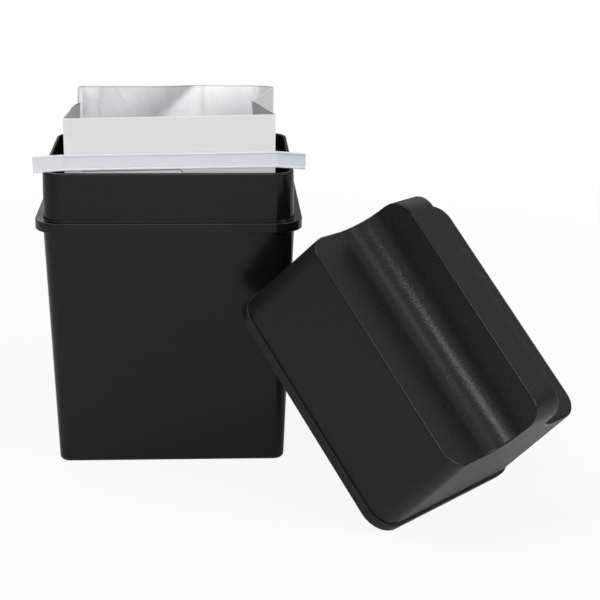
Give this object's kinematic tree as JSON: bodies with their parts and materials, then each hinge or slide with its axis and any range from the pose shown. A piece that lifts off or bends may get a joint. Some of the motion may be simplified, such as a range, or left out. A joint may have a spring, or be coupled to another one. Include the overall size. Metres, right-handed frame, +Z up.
{
  "type": "coffee bag keeper",
  "caption": "Tapered rounded-rectangular canister with a flanged collar and a deep lid with a grip ridge, keeping an open foil-lined coffee bag with its tin tie.",
  "frame": {"origin": "middle of the canister's underside, on the surface that it stands on", "axes": "+Z up, +X to the right along the canister's wide side, -Y to the front, where the lid leans"},
  "size_m": [0.2653, 0.2206, 0.1842],
  "materials": {
    "black_plastic": "black moulded plastic, satin walls, fine grain on the lid's top",
    "bag_paper": "white laminated bag paper, soft satin",
    "bag_foil": "crumpled foil lining",
    "label_paper": "blank white label, smooth",
    "tie_plastic": "white plastic strip, smooth",
    "tie_wire": "bare steel wire"
  },
  "bodies": {
    "canister": {"canister_body": "black_plastic"},
    "lid": {"lid_shell": "black_plastic"},
    "bag": {"bag_paper": "bag_paper", "bag_foil": "bag_foil", "bag_label": "label_paper", "tie_strip": "tie_plastic", "tie_wires": "tie_wire"},
    "tie_end_left": {"tie_left": "tie_plastic", "tie_left_wires": "tie_wire"},
    "tie_end_right": {"tie_right": "tie_plastic", "tie_right_wires": "tie_wire"}
  },
  "joints": [
    {"name": "lid_lift", "type": "slide", "parent": "canister", "child": "lid", "axis": [0.5044, -0.5009, 0.7034], "range_m": [0, 0.2]},
    {"name": "bag_lift", "type": "slide", "parent": "canister", "child": "bag", "axis": [0, 0, 1], "range_m": [0, 0.17]},
    {"name": "tie_left_bend", "type": "hinge", "parent": "bag", "child": "tie_end_left", "pos_m": [-0.05219, -0.04823, 0.15992], "axis": [-0.0164, -0.0255, 0.9995], "range_deg": [-95, 70]},
    {"name": "tie_right_bend", "type": "hinge", "parent": "bag", "child": "tie_end_right", "pos_m": [0.05419, -0.04827, 0.16166], "axis": [-0.0164, -0.0255, 0.9995], "range_deg": [-60, 105]}
  ]
}
